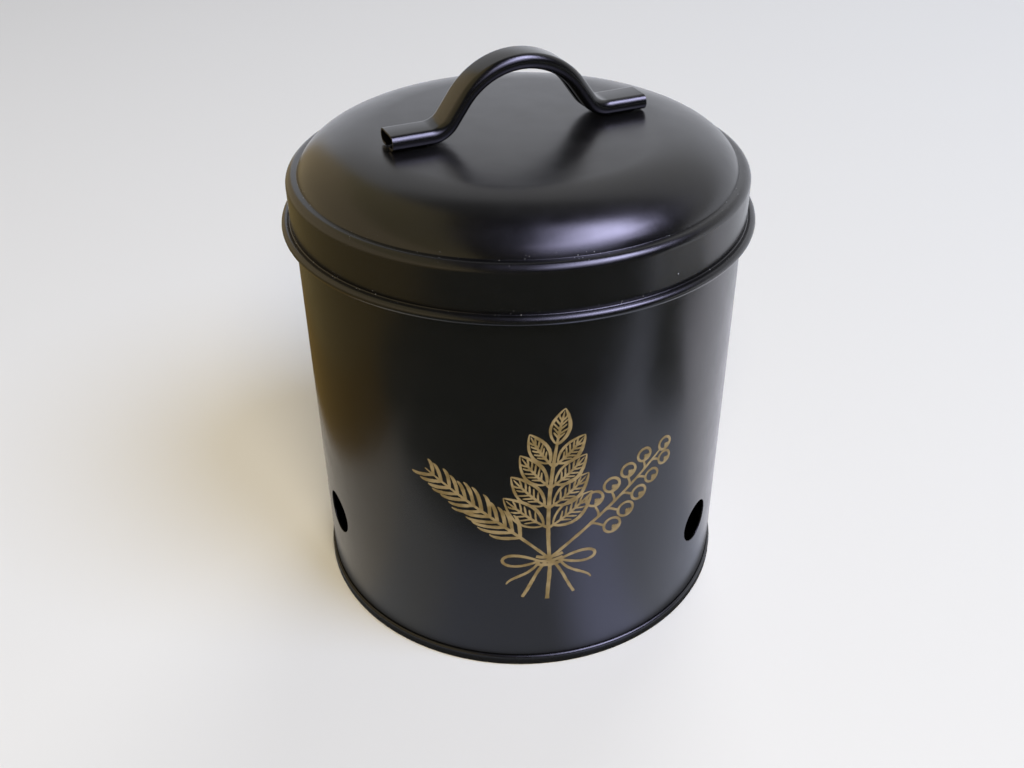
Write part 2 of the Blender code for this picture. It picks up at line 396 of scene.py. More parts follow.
def satin_paint(name, roughness, speck_share, rings=()):
    """Black stove enamel: orange peel, slightly uneven sheet below it, and a little dust."""
    material = bpy.data.materials.new(name)
    nodes = Nodes(material)
    place = nodes.add("TexCoord").outputs["Object"]
    mottle = nodes.noise(place, MOTTLE_SCALE, MOTTLE_DETAIL)
    specks = dust_specks(nodes, place, speck_share, SPECK_CELL, SPECK_RADIUS)
    dust = nodes.math("MULTIPLY", specks, SPECK_STRENGTH)
    for ring in rings:
        ring_dust = nodes.math("MULTIPLY", dust_ring(nodes, place, *ring), RING_STRENGTH)
        dust = nodes.math("MAXIMUM", dust, ring_dust)
    dark = tuple(channel * (1 - TONE_SPREAD) for channel in PAINT_TONE) + (1.0,)
    light = tuple(channel * (1 + TONE_SPREAD) for channel in PAINT_TONE) + (1.0,)
    colour = nodes.mix(dust, nodes.mix(mottle, dark, light), DUST_TONE)
    gloss = nodes.ramp(mottle, *MOTTLE_SPAN, roughness - GLOSS_SPREAD, roughness + GLOSS_SPREAD)
    gloss = nodes.math("MAXIMUM", gloss, nodes.math("MULTIPLY", dust, DUST_ROUGHNESS))
    peel_inputs = {"Height": nodes.noise(place, PEEL_SCALE), "Distance": PEEL_DEPTH, "Strength": 1.0}
    peel = nodes.add("Bump", peel_inputs)
    uneven_inputs = {
        "Height": nodes.noise(place, UNEVEN_SCALE, UNEVEN_DETAIL), "Distance": UNEVEN_DEPTH,
        "Strength": 1.0, "Normal": peel.outputs["Normal"]}
    uneven = nodes.add("Bump", uneven_inputs)
    shader_inputs = {
        "Base Color": colour, "Roughness": gloss, "Metallic": 0.0, "IOR": PAINT_IOR,
        "Normal": uneven.outputs["Normal"]}
    shader = nodes.add("BsdfPrincipled", shader_inputs)
    nodes.add("OutputMaterial", {"Surface": shader.outputs["BSDF"]})
    return material


INK_LIGHT = (0.285, 0.212, 0.1, 1.0)
INK_DEEP = (0.175, 0.12, 0.038, 1.0)
BLOT_SCALE = 300.0
BLOT_DETAIL = 3.0
INK_GRAIN_SCALE = 3000.0
INK_GRAIN_DEPTH = 0.01 * MM
INK_ROUGHNESS_SPAN = (0.42, 0.55)


def print_ink(name):
    """Tan screen-print ink, laid on a little unevenly."""
    material = bpy.data.materials.new(name)
    nodes = Nodes(material)
    place = nodes.add("TexCoord").outputs["Object"]
    blot = nodes.noise(place, BLOT_SCALE, BLOT_DETAIL)
    grain = nodes.noise(place, INK_GRAIN_SCALE)
    colour = nodes.mix(nodes.ramp(blot, *PATCH_SPAN), INK_DEEP, INK_LIGHT)
    bump = nodes.add("Bump", {"Height": grain, "Distance": INK_GRAIN_DEPTH, "Strength": 1.0})
    shader_inputs = {
        "Base Color": colour, "Roughness": nodes.ramp(grain, *MOTTLE_SPAN, *INK_ROUGHNESS_SPAN),
        "Normal": bump.outputs["Normal"]}
    shader = nodes.add("BsdfPrincipled", shader_inputs)
    nodes.add("OutputMaterial", {"Surface": shader.outputs["BSDF"]})
    return material


# Turned sheet


def arc(centre, radius, start, end, steps):
    """Points of an arc about (radius, height) centre, both ends included; angle 0 points outwards."""
    points = []
    for i in range(steps + 1):
        angle = between((start, end), i / steps)
        points.append((centre[0] + radius * math.cos(angle), centre[1] + radius * math.sin(angle)))
    return points


def round_edges(piece, width, angle_limit, harden=True):
    edges = piece.modifiers.new("rounded edges", "BEVEL")
    edges.width = width
    edges.segments = EDGE_SEGMENTS
    edges.limit_method = "ANGLE"
    edges.angle_limit = angle_limit
    edges.harden_normals = harden


def thicken(piece):
    """Gives a sheet its thickness on the inner side and rounds its cut edges."""
    sheet = piece.modifiers.new("sheet thickness", "SOLIDIFY")
    sheet.thickness = SHEET
    sheet.offset = -1
    sheet.use_even_offset = True
    round_edges(piece, EDGE_ROUND, SHEET_EDGE_ANGLE)


def turned_sheet(name, line, material):
    """Turns the outer line of a sheet, from its top to its foot, round +Z."""
    mesh = bpy.data.meshes.new(name)
    edges = [(i, i + 1) for i in range(len(line) - 1)]
    mesh.from_pydata([(radius, 0, height) for radius, height in line], edges, [])
    piece = add_object(name, mesh, material)
    turn = piece.modifiers.new("turn", "SCREW")
    turn.axis = "Z"
    turn.angle = math.tau
    turn.steps = TURN_STEPS
    turn.render_steps = TURN_STEPS
    turn.use_merge_vertices = True
    turn.merge_threshold = MERGE_DISTANCE
    turn.use_smooth_shade = True
    thicken(piece)
    return piece


def wall_point(along, height, radius):
    """Point on a cylinder: along is the way round from the front, on the wall's outside."""
    azimuth = along / WALL_RADIUS
    return Vector((radius * math.sin(azimuth), -radius * math.cos(azimuth), height))


# Can wall


def wall_azimuths():
    """Columns of the wall's mesh, with extra ones along the side seam; each vent has a column."""
    seam = SEAM_AZIMUTH % math.tau
    azimuths = []
    for i in range(WALL_COLUMNS):
        azimuth = math.tau * i / WALL_COLUMNS
        if abs(azimuth - seam) * WALL_RADIUS > SEAM_HALF_WIDTH:
            azimuths.append(azimuth)
    for along in (-SEAM_HALF_WIDTH, -SEAM_CREST, 0, SEAM_CREST, SEAM_HALF_WIDTH):
        azimuths.append(seam + along / WALL_RADIUS)
    return sorted(azimuths)


def seam_proud(azimuth):
    """How far the welded side seam stands out of the wall."""
    off = abs(azimuth - SEAM_AZIMUTH % math.tau) * WALL_RADIUS
    return SEAM_PROUD if off < (SEAM_CREST + SEAM_HALF_WIDTH) / 2 else 0


def wall_line():
    """Radius and height of each row of the wall from its foot up, with the rows that frame the vents."""
    patch = VENT_PATCH_CELLS * math.tau / WALL_COLUMNS * WALL_RADIUS
    curl_centre = (WALL_RADIUS - RIM_CURL_RADIUS, RIM_HEIGHT - RIM_CURL_RADIUS)
    heights = [WALL_FOOT, (WALL_FOOT + VENT_HEIGHT - patch) / 2]
    for i in range(2 * VENT_PATCH_CELLS + 1):
        heights.append(VENT_HEIGHT - patch + patch * i / VENT_PATCH_CELLS)
    rows = round((curl_centre[1] - heights[-1]) / WALL_ROW)
    start = heights[-1]
    for i in range(1, rows):
        heights.append(start + (curl_centre[1] - start) * i / rows)
    line = [(WALL_RADIUS, height) for height in heights]
    return line + arc(curl_centre, RIM_CURL_RADIUS, 0, RIM_CURL_TURN, RIM_CURL_STEPS)


def vent_patch(mesh, grid, column, row):
    """Rings of faces between a square of the grid and the round hole in its middle."""
    cells = VENT_PATCH_CELLS
    border = []
    for i in range(-cells, cells):
        border.append(grid[column + i][row])
    for i in range(2 * cells):
        border.append(grid[column + cells][row + i])
    for i in range(cells, -cells, -1):
        border.append(grid[column + i][row + 2 * cells])
    for i in range(2 * cells, 0, -1):
        border.append(grid[column - cells][row + i])
    middle = WALL_RADIUS * vent_azimuth(grid[column][0].co)
    rings = [border]
    for ring in range(1, VENT_RINGS + 1):
        share = ring / VENT_RINGS
        points = []
        for i, outer in enumerate(border):
            angle = VENT_PATCH_CORNER + math.tau * i / len(border)
            along = VENT_RADIUS * math.cos(angle)
            height = VENT_HEIGHT + VENT_RADIUS * math.sin(angle)
            outer_along = WALL_RADIUS * turn_between(outer.co, middle / WALL_RADIUS)
            along = middle + between((outer_along, along), share)
            height = between((outer.co.z, height), share)
            points.append(mesh.verts.new(wall_point(along, height, WALL_RADIUS)))
        rings.append(points)
    for outside, inside in zip(rings, rings[1:]):
        for i in range(len(border)):
            j = (i + 1) % len(border)
            mesh.faces.new((outside[i], outside[j], inside[j], inside[i]))


def vent_azimuth(point):
    return math.atan2(point.x, -point.y)


def turn_between(point, azimuth):
    """Azimuth of a point counted from another azimuth, between minus and plus half a turn."""
    turn = vent_azimuth(point) - azimuth
    return (turn + math.pi) % math.tau - math.pi


def make_can_shell(material):
    """Rolled wall with a curled rim, a welded side seam and three round vents."""
    azimuths = wall_azimuths()
    line = wall_line()
    mesh = bmesh.new()
    grid = []
    for azimuth in azimuths:
        proud = seam_proud(azimuth)
        column = []
        for radius, height in line:
            out = radius + (proud if radius == WALL_RADIUS else 0)
            column.append(mesh.verts.new(wall_point(azimuth * WALL_RADIUS, height, out)))
        grid.append(column)
    holes = []
    for vent in VENT_AZIMUTHS:
        holes.append(min(range(len(azimuths)), key=lambda i: abs(azimuths[i] - vent)))
    for i in range(len(azimuths)):
        j = (i + 1) % len(azimuths)
        for k in range(len(line) - 1):
            in_rows = VENT_PATCH_ROW <= k < VENT_PATCH_ROW + 2 * VENT_PATCH_CELLS
            in_patch = any(hole - VENT_PATCH_CELLS <= i < hole + VENT_PATCH_CELLS for hole in holes)
            if not (in_rows and in_patch):
                mesh.faces.new((grid[i][k], grid[j][k], grid[j][k + 1], grid[i][k + 1]))
    for hole in holes:
        vent_patch(mesh, grid, hole, VENT_PATCH_ROW)
    loose = [vertex for vertex in mesh.verts if not vertex.link_faces]
    bmesh.ops.delete(mesh, geom=loose, context="VERTS")
    data = bpy.data.meshes.new("can_shell")
    mesh.to_mesh(data)
    mesh.free()
    data.shade_smooth()
    shell = add_object("can_shell", data, material)
    thicken(shell)
    return shell


def make_seam_lap(material):
    """Second layer of sheet inside the wall, where the rolled sheet's two ends lap."""
    outer = WALL_INSIDE + SHEET / 4
    inner = WALL_INSIDE - SHEET
    low = PANEL_RISE + SEATING_GAP
    high = RIM_HEIGHT - 2 * RIM_CURL_RADIUS - SHEET
    places = [SEAM_AZIMUTH * WALL_RADIUS + LAP_WIDTH * (i / LAP_STEPS - 1 / 2) for i in range(LAP_STEPS + 1)]
    mesh = bmesh.new()
    rings = []
    for height in (low, high):
        ring = [mesh.verts.new(wall_point(along, height, inner)) for along in places]
        ring += [mesh.verts.new(wall_point(along, height, outer)) for along in reversed(places)]
        rings.append(ring)
    close_tube(mesh, rings)
    piece = finish_mesh("seam_lap", mesh, material)
    round_edges(piece, EDGE_ROUND, SHEET_EDGE_ANGLE, harden=False)
    return piece


def close_tube(mesh, rings):
    """Faces between neighbouring rings, and one across each end."""
    for before, after in zip(rings, rings[1:]):
        for i, corner in enumerate(before):
            j = (i + 1) % len(before)
            mesh.faces.new((corner, before[j], after[j], after[i]))
    mesh.faces.new(rings[0])
    mesh.faces.new(rings[-1])


def finish_mesh(name, mesh, material):
    bmesh.ops.recalc_face_normals(mesh, faces=mesh.faces)
    data = bpy.data.meshes.new(name)
    mesh.to_mesh(data)
    mesh.free()
    data.shade_smooth()
    data.set_sharp_from_angle(angle=SMOOTH_ANGLE)
    return add_object(name, data, material)


# Can base


def make_foot(material):
    """Recessed panel with a pressed ring; its edge folds down, under and up round the wall's foot."""
    outer_bend = FOOT_RING_OUTSIDE - FOOT_ROUND
    inner_bend = FOOT_RING_INSIDE + FOOT_ROUND
    line = arc((outer_bend, FOOT_RING_HEIGHT - FOOT_ROUND), FOOT_ROUND, UP, 0, ROUND_STEPS)
    line += arc((outer_bend, FOOT_ROUND), FOOT_ROUND, 0, -UP, ROUND_STEPS)
    line += arc((inner_bend, FOOT_ROUND), FOOT_ROUND, -UP, -INWARDS, ROUND_STEPS)
    line += arc((FOOT_RING_INSIDE - PANEL_ROUND, PANEL_RISE - PANEL_ROUND), PANEL_ROUND, 0, UP, ROUND_STEPS)
    for i in range(PANEL_BEAD_STEPS + 1):
        share = i / PANEL_BEAD_STEPS
        radius = PANEL_BEAD_RADIUS + PANEL_BEAD_WIDTH * (1 / 2 - share)
        line.append((radius, PANEL_RISE - PANEL_BEAD_DEPTH * math.sin(math.pi * share) ** 2))
    line.append((0, PANEL_RISE))
    return turned_sheet("can_foot", line, material)


# Lid


def shoulder_foot():
    """Angle on the shoulder's ellipse where the groove's fillet meets it, and its normal's slope there."""
    angle = 0
    for _ in range(FILLET_ROUNDS):
        normal = math.atan2(SHOULDER_RUN * math.sin(angle), SHOULDER_RISE * math.cos(angle))
        angle = math.asin((SHOULDER_DIP + DOME_FILLET * (1 - math.sin(normal))) / SHOULDER_RISE)
    return angle, normal


def make_lid_cap(material):
    """Flat top, rounded shoulder, groove, ridge, skirt and rolled bead, from the middle outwards."""
    foot, normal = shoulder_foot()
    line = [(0, LID_TOP)]
    for i in range(SHOULDER_STEPS + 1):
        angle = between((UP, foot), i / SHOULDER_STEPS)
        radius = DOME_RADIUS - SHOULDER_RUN * (1 - math.cos(angle))
        line.append((radius, LEDGE_HEIGHT - SHOULDER_DIP + SHOULDER_RISE * math.sin(angle)))
    groove_centre = (line[-1][0] + DOME_FILLET * math.cos(normal), LEDGE_HEIGHT + DOME_FILLET)
    line += arc(groove_centre, DOME_FILLET, INWARDS + normal, DOWN, ROUND_STEPS)[1:]
    line += arc((SKIRT_RADIUS - RIDGE_ROUND, LEDGE_HEIGHT - RIDGE_ROUND), RIDGE_ROUND, UP, 0, RIDGE_STEPS)
    bead_centre = (BEAD_OUTSIDE - BEAD_RADIUS, BEAD_HEIGHT)
    fillet_radius = SKIRT_RADIUS + BEAD_FILLET
    across = fillet_radius - bead_centre[0]
    above = math.sqrt((BEAD_RADIUS + BEAD_FILLET) ** 2 - across ** 2)
    touch = math.atan2(above, across)
    fillet_centre = (fillet_radius, BEAD_HEIGHT + above)
    line += arc(fillet_centre, BEAD_FILLET, INWARDS, INWARDS + touch, ROUND_STEPS)
    line += arc(bead_centre, BEAD_RADIUS, touch, touch - BEAD_TURN, BEAD_STEPS)[1:]
    return turned_sheet("lid_cap", line, material)


# Handle


def handle_path():
    """Middle line of the strap from one end to the other, as (along, height, slope) of each station."""
    foot_height = LID_TOP + SEATING_GAP + HANDLE_THICKNESS / 2
    arch_centre = HANDLE_TOP - HANDLE_THICKNESS / 2 - ARCH_RADIUS
    shoulder_height = arch_centre + ARCH_RADIUS * math.cos(ARCH_SLOPE)
    bend_top = foot_height + FOOT_BEND_RADIUS * (1 - math.cos(ARCH_SLOPE))
    flank_run = (shoulder_height - bend_top) / math.tan(ARCH_SLOPE)
    bend_start = ARCH_RADIUS * math.sin(ARCH_SLOPE) + flank_run + FOOT_BEND_RADIUS * math.sin(ARCH_SLOPE)
    half = [(-HANDLE_LENGTH / 2, foot_height, 0)]
    for i in range(BEND_STEPS + 1):
        slope = ARCH_SLOPE * i / BEND_STEPS
        along = -bend_start + FOOT_BEND_RADIUS * math.sin(slope)
        half.append((along, foot_height + FOOT_BEND_RADIUS * (1 - math.cos(slope)), slope))
    for i in range(ARCH_STEPS):
        slope = ARCH_SLOPE * (1 - i / ARCH_STEPS)
        half.append((-ARCH_RADIUS * math.sin(slope), arch_centre + ARCH_RADIUS * math.cos(slope), slope))
    mirrored = [(-along, height, -slope) for along, height, slope in reversed(half)]
    return half + [(0, arch_centre + ARCH_RADIUS, 0)] + mirrored


def handle_section():
    """Outline of the strap: flat on top, both edges rolled under, open along the middle below."""
    outer = HANDLE_THICKNESS / 2
    inner = outer - SHEET
    edge = HANDLE_WIDTH / 2 - outer
    lip = HANDLE_SLOT / 2
    outline = [(lip, -outer)]
    outline += arc((edge, 0), outer, -UP, UP, STRAP_OUTSIDE_STEPS)
    outline += arc((-edge, 0), outer, UP, DOWN, STRAP_OUTSIDE_STEPS)
    outline += [(-lip, -outer), (-lip, -inner)]
    outline += arc((-edge, 0), inner, DOWN, UP, STRAP_INSIDE_STEPS)
    outline += arc((edge, 0), inner, UP, -UP, STRAP_INSIDE_STEPS)
    outline.append((lip, -inner))
    return outline


def make_bow(material):
    """Sweeps the strap's section along its path, square to the path at each station."""
    mesh = bmesh.new()
    rings = []
    turn = Matrix.Rotation(HANDLE_AZIMUTH, 3, "Z")
    for along, height, slope in handle_path():
        ring = []
        for across, above in handle_section():
            point = Vector((along - above * math.sin(slope), -across, height + above * math.cos(slope)))
            ring.append(mesh.verts.new(turn @ point))
        rings.append(ring)
    close_tube(mesh, rings)
    bow = finish_mesh("lid_bow", mesh, material)
    round_edges(bow, EDGE_ROUND / 2, STRAP_EDGE_ANGLE)
    return bow


# Print


class Print:
    """Ink strokes on the wall, drawn flat: x to the right of the print's middle line, y up from its foot."""

    def __init__(self):
        self.mesh = bmesh.new()
        self.count = 0
        self.dice = random.Random(PRINT_SEED)

    def stroke(self, points, kind):
        """One stroke of ink along the points, full in its middle and tapered towards its ends."""
        width, *end_shares = kind
        layer = INK_HEIGHT + INK_LAYER * (self.count % INK_LAYERS)
        self.count += 1
        rings = []
        last = len(points) - 1
        for i, point in enumerate(points):
            ahead = points[min(i + 1, last)] - points[max(i - 1, 0)]
            side = Vector((-ahead.y, ahead.x)).normalized()
            share = i / last
            least = between(end_shares, share)
            swell = math.sin(math.pi * share) ** SWELL_POWER
            half = width / 2 * between((least, 1), swell) * self.dice.uniform(*WAVER_SHARES)
            left, right = point + side * half, point - side * half
            ring = []
            for corner, proud in ((left, layer), (right, layer), (right, -INK_ROOT), (left, -INK_ROOT)):
                along = PRINT_AZIMUTH * WALL_RADIUS + corner.x
                height = PRINT_FOOT + corner.y
                ring.append(self.mesh.verts.new(wall_point(along, height, WALL_RADIUS + proud)))
            rings.append(ring)
        close_tube(self.mesh, rings)


def curve(start, pull_start, pull_end, end, steps=STROKE_STEPS):
    """Points of a smooth curve between two points with two pulls."""
    points = []
    for i in range(steps + 1):
        t = i / steps
        s = 1 - t
        points.append(
            start * s ** 3 + pull_start * 3 * s * s * t + pull_end * 3 * s * t * t + end * t ** 3)
    return points


def heading(angle):
    """Unit vector at an angle counted from straight up, positive to the right."""
    return Vector((math.sin(angle), math.cos(angle)))


class Leaf:
    """A leaf with a bent midrib. side gives a point off the midrib as shares of length and half width."""

    def __init__(self, base, angle, length, width, bend):
        self.base = base
        self.angle = angle
        self.length = length
        self.width = width
        self.bend = bend

    def rib(self, share):
        along = heading(self.angle)
        across = Vector((along.y, -along.x))
        return self.base + along * self.length * share + across * self.bend * share * share

    def half_width(self, share):
        return self.width / 2 * math.sin(math.pi * share ** LEAF_BASE_POWER) ** LEAF_ROUND_POWER

    def side(self, share, out):
        along = heading(self.angle)
        across = Vector((along.y, -along.x))
        return self.rib(share) + across * self.half_width(share) * out


def draw_leaf(ink, leaf):
    for out, kind in ((-1, FAR_EDGE), (1, NEAR_EDGE)):
        ink.stroke([leaf.side(i / STROKE_STEPS, out) for i in range(STROKE_STEPS + 1)], kind)
    ink.stroke([leaf.rib(between(RIB_SHARES, i / STROKE_STEPS)) for i in range(STROKE_STEPS + 1)], LEAF_RIB)
    for i in range(VEIN_COUNT):
        foot = between(VEIN_PLACE_SHARES, i / VEIN_COUNT)
        for out in (-1, 1):
            length = ink.dice.uniform(*VEIN_LENGTH_SHARES)
            vein = []
            for k in range(VEIN_STEPS + 1):
                share = k / VEIN_STEPS
                vein.append(leaf.side(foot + VEIN_RISE_SHARE * share, out * length * share))
            ink.stroke(vein, LEAF_VEIN)


def draw_berry(ink, centre, radius):
    start = ink.dice.uniform(0, math.tau)
    ring = [centre + heading(start + math.tau * i / BERRY_STEPS) * radius for i in range(BERRY_STEPS + 1)]
    ink.stroke(ring, BERRY_RING)
    for share in CRESCENT_SHARES:
        crescent = []
        for i in range(CRESCENT_STEPS + 1):
            crescent.append(centre + heading(between(CRESCENT_ENDS, i / CRESCENT_STEPS)) * radius * share)
        ink.stroke(crescent, BERRY_CRESCENT)


def along_curve(points, share):
    """Point and heading at a share of a list of points."""
    place = share * (len(points) - 1)
    i = min(int(place), len(points) - 2)
    step = points[i + 1] - points[i]
    return points[i] + step * (place - i), math.atan2(step.x, step.y)


def draw_leafy_sprig(ink, stem):
    """Broad leaves in pairs, smaller towards the tip, and one at the tip."""
    ink.stroke(stem, LEAFY_STEM)
    for i in range(LEAF_PAIRS):
        rise = i / LEAF_PAIRS
        base, angle = along_curve(stem, between(LEAF_PLACE_SHARES, rise))
        size = between(LEAF_SIZE_SHARES, rise)
        for out in (-1, 1):
            lean = angle + out * between(LEAF_LEANS, rise)
            foot = base + heading(lean) * LEAF_STALK_LENGTH
            draw_leaf(ink, Leaf(foot, lean, LEAF_LENGTH * size, LEAF_WIDTH * size, -out * LEAF_BEND))
            ink.stroke(curve(base, base, foot, foot, LEAF_STALK_STEPS), LEAF_STALK)
    tip, angle = along_curve(stem, 1)
    draw_leaf(ink, Leaf(tip, angle, TIP_LEAF_LENGTH, TIP_LEAF_WIDTH, TIP_LEAF_BEND))


def draw_berry_sprig(ink, stem):
    """Round berries on short bent stalks, closer to the stem towards its tip."""
    ink.stroke(stem, BERRY_STEM)
    for i in range(BERRY_COUNT):
        rise = i / BERRY_COUNT
        base, angle = along_curve(stem, between(BERRY_PLACE_SHARES, rise))
        out = -1 if i % 2 else 1
        reach = between(BERRY_REACHES, rise)
        way = heading(angle + out * between(BERRY_LEANS, rise))
        centre = base + way * reach
        radius = BERRY_RADIUS * between(BERRY_SIZE_SHARES, rise)
        pull = base + heading(angle) * reach * BERRY_STALK_BEND_SHARE
        end = centre - way * radius
        ink.stroke(curve(base, pull, base + way * reach / 2, end, BERRY_STALK_STEPS), BERRY_STALK)
        draw_berry(ink, centre, radius)
    tip, angle = along_curve(stem, 1)
    draw_berry(ink, tip + heading(angle) * TIP_BERRY_RADIUS, TIP_BERRY_RADIUS)


def draw_needle_sprig(ink, stem):
    """Narrow needles in close pairs, each one lifted stroke."""
    ink.stroke(stem, NEEDLE_STEM)
    for i in range(NEEDLE_PAIRS):
        rise = i / NEEDLE_PAIRS
        base, angle = along_curve(stem, between(NEEDLE_PLACE_SHARES, rise))
        for out in (-1, 1):
            uneven = ink.dice.uniform(*NEEDLE_UNEVEN_SHARES)
            length = NEEDLE_LENGTH * between(NEEDLE_SIZE_SHARES, rise) * uneven
            way = heading(angle + out * ink.dice.uniform(*NEEDLE_LEANS))
            bend = heading(angle) * length * NEEDLE_BEND_SHARE
            tip = base + way * length + bend
            pull = tip - bend * NEEDLE_TIP_PULL_SHARE
            ink.stroke(curve(base, base + way * length / 3, pull, tip, SHORT_STROKE_STEPS), NEEDLE)


def sideways(place, out):
    """Vector to a place given to the right and up, or its mirror image for out -1."""
    return Vector((out * place[0], place[1]))


def draw_tie(ink):
    """Three turns of twine round the stems, and a bow with two loops and two tails."""
    for level in (-1, 0, 1):
        rise = level * TWINE_PITCH
        left = KNOT + Vector((-TWINE_REACH, rise - TWINE_SLANT))
        right = KNOT + Vector((TWINE_REACH, rise + TWINE_SLANT))
        left_pull = left.lerp(right, TWINE_PULL_SHARE) + TWINE_SAG
        right_pull = right.lerp(left, TWINE_PULL_SHARE) + TWINE_SAG
        ink.stroke(curve(left, left_pull, right_pull, right, SHORT_STROKE_STEPS), TWINE)
    for out in (-1, 1):
        start = KNOT + sideways(BOW_START, out)
        high = start + sideways(LOOP_HIGH_PULL, out)
        low = start + sideways(LOOP_LOW_PULL, out)
        ink.stroke(curve(start, high, low, start, LOOP_STEPS), BOW_LOOP)
        pull = sideways(TAIL_PULL, out)
        end = start + sideways(TAIL_END, out)
        ink.stroke(curve(start, start + pull, end - pull * TAIL_PULL_SHARE, end), BOW_TAIL)


def bunch_stem(foot, tip, knot_lean, tip_lean):
    """Stem from its cut foot through the knot, leaving it at one lean and ending at another."""
    foot, tip = Vector(foot), Vector(tip)
    length = (tip - KNOT).length
    knot_pull = KNOT - heading(knot_lean) * length * KNOT_PULL_SHARE
    lower = curve(foot, foot.lerp(KNOT, FOOT_PULL_SHARE), knot_pull, KNOT, SHORT_STROKE_STEPS)
    pull = length * STEM_PULL_SHARE
    upper = curve(KNOT, KNOT + heading(knot_lean) * pull, tip - heading(tip_lean) * pull, tip, STEM_STEPS)
    return lower + upper[1:]


def make_print(material):
    """A tied bunch of three kitchen herbs: needles left, broad leaves upright, berries right."""
    ink = Print()
    draw_needle_sprig(ink, bunch_stem(*NEEDLE_LINE))
    draw_leafy_sprig(ink, bunch_stem(*LEAFY_LINE))
    draw_berry_sprig(ink, bunch_stem(*BERRY_LINE))
    draw_tie(ink)
    return finish_mesh("printed_sprigs", ink.mesh, material)


# Stage: a plain pale floor, soft lamps, and cards that only reflections see

FLOOR_HALF = 2.0
FLOOR_TONE = (0.8, 0.785, 0.765, 1.0)
BACKDROP_TONE = (0.84, 0.84, 0.86, 1.0)
ROOM_TONE = (0.9, 0.92, 1.0, 1.0)
ROOM_STRENGTH = 0.02
AIM = Vector((0, 0, LID_TOP / 2))

# Round lamps that only reflections see, in rows:
# elevation, first and last azimuth, number of lamps, watts of the first and the last
WINDOW_ROWS = [
    (30, 18, 46, 3, 0.5, 1.0),
    (42, 24, 70, 4, 1.6, 3.6),
    (54, 26, 82, 5, 2.2, 7.6),
    (65, 40, 96, 4, 1.6, 6.6),
    (75, 60, 96, 2, 0.8, 2.4),
]
WINDOW_DISTANCE = 2.0
WINDOW_LAMP = 0.56
WINDOW_COLOUR = (0.69, 0.68, 1.03)

# Soft lamps that reflections don't show: name, azimuth, elevation, watts, colour
FILLS = [
    ("window_fill", 62, 52, 46.0, (0.5, 0.66, 1.0)),
    ("front_fill", 10, 45, 58.0, (1.0, 0.88, 0.65)),
    ("back_fill", 165, 35, 18.0, (1.0, 1.0, 1.0)),
]
FILL_DISTANCE = 2.5
FILL_LAMP = 1.4

# Places of the cards that only reflections see, in a frame turned about the tin's axis
CARD_TURN = math.radians(-9)
GROUND_LEFT = -103.5 * MM
GROUND_RIGHT = 300.0 * MM
GROUND_FRONT = -104.0 * MM
GROUND_BACK = 143.0 * MM
SHADE_FRONT = -60.0 * MM
SHADE_LEFT = 150.0 * MM
SHADE_MIDDLE = 8.0 * MM
FAR_SHADE_LEFT = 230.0 * MM
SHADE_BACK = 70.0 * MM
SIDE_PLACE = -163.0 * MM
CARD_REACH = 1500.0 * MM
CARD_HEIGHT = 600.0 * MM
CARD_LIFT = 0.2 * MM

# Bands of the plain cards: height where each begins, and its tone
DARK_BANDS = [(0, (0.085, 0.09, 0.075))]
BROWN_BANDS = [(0, (0.25, 0.16, 0.05))]
PALE_BANDS = [(0, (0.95, 0.97, 1.05)), (200.0 * MM, (0.56, 0.56, 0.57)), (340.0 * MM, (0.1, 0.1, 0.1))]
TAN_BANDS = [(0, (0.28, 0.21, 0.09)), (100.0 * MM, (0.68, 0.54, 0.33)), (250.0 * MM, (0.46, 0.38, 0.2))]

# Tints of the ground card, and its zones: azimuth where each begins, brightness and tint
NEUTRAL = (1.0, 1.0, 1.0)
WARM = (1.1, 1.0, 0.85)
PALE_BLUE = (1.0, 1.0, 1.1)
COOL = (0.95, 1.0, 1.2)
BLUE = (0.95, 1.0, 1.45)
# The dim zones on the left and in front are painted shade on the ground, and the blue zone is a painted sheen
# of the window lamps.
GROUND_ZONES = [
    (-180, 1.0, NEUTRAL),
    (-140, 0.55, WARM),
    (-50, 0.48, NEUTRAL),
    (-25, 0.42, COOL),
    (20, 1.0, BLUE),
    (41, 0.75, COOL),
    (84, 1.05, PALE_BLUE),
]
ZONE_BLEND = math.radians(9)
CONTACT_SHADE = (0.1, 0.1, 0.1)
CONTACT_START = 1.7 * MM
CONTACT_REACH = 3.4 * MM
BAND_BLEND = 25.0 * MM


def diffuse_floor(name, colour):
    material = bpy.data.materials.new(name)
    nodes = Nodes(material)
    shader_inputs = {"Base Color": colour, "Roughness": 1.0, "Specular IOR Level": 0.0}
    shader = nodes.add("BsdfPrincipled", shader_inputs)
    nodes.add("OutputMaterial", {"Surface": shader.outputs["BSDF"]})
    return material


def make_floor():
    mesh = bmesh.new()
    bmesh.ops.create_grid(mesh, x_segments=1, y_segments=1, size=FLOOR_HALF)
    data = bpy.data.meshes.new("floor")
    mesh.to_mesh(data)
    mesh.free()
    add_object("floor", data, diffuse_floor("floor", FLOOR_TONE))


def light_direction(azimuth, elevation):
    """Unit vector from the tin towards a light; azimuth from the front, positive to the right."""
    flat = math.cos(elevation)
    return Vector((math.sin(azimuth) * flat, -math.cos(azimuth) * flat, math.sin(elevation)))


def add_lamp(name, azimuth, elevation, distance, width, power, colour, shown):
    """Round lamp aimed at the tin, which either reflections alone show or all else."""
    data = bpy.data.lights.new(name, "AREA")
    data.shape = "DISK"
    data.size = width
    data.energy = power
    data.color = colour
    lamp = bpy.data.objects.new(name, data)
    way = light_direction(math.radians(azimuth), math.radians(elevation))
    lamp.location = AIM + way * distance
    lamp.rotation_euler = way.to_track_quat("Z", "Y").to_euler()
    lamp.visible_camera = False
    lamp.visible_glossy = shown
    lamp.visible_diffuse = not shown
    bpy.context.scene.collection.objects.link(lamp)


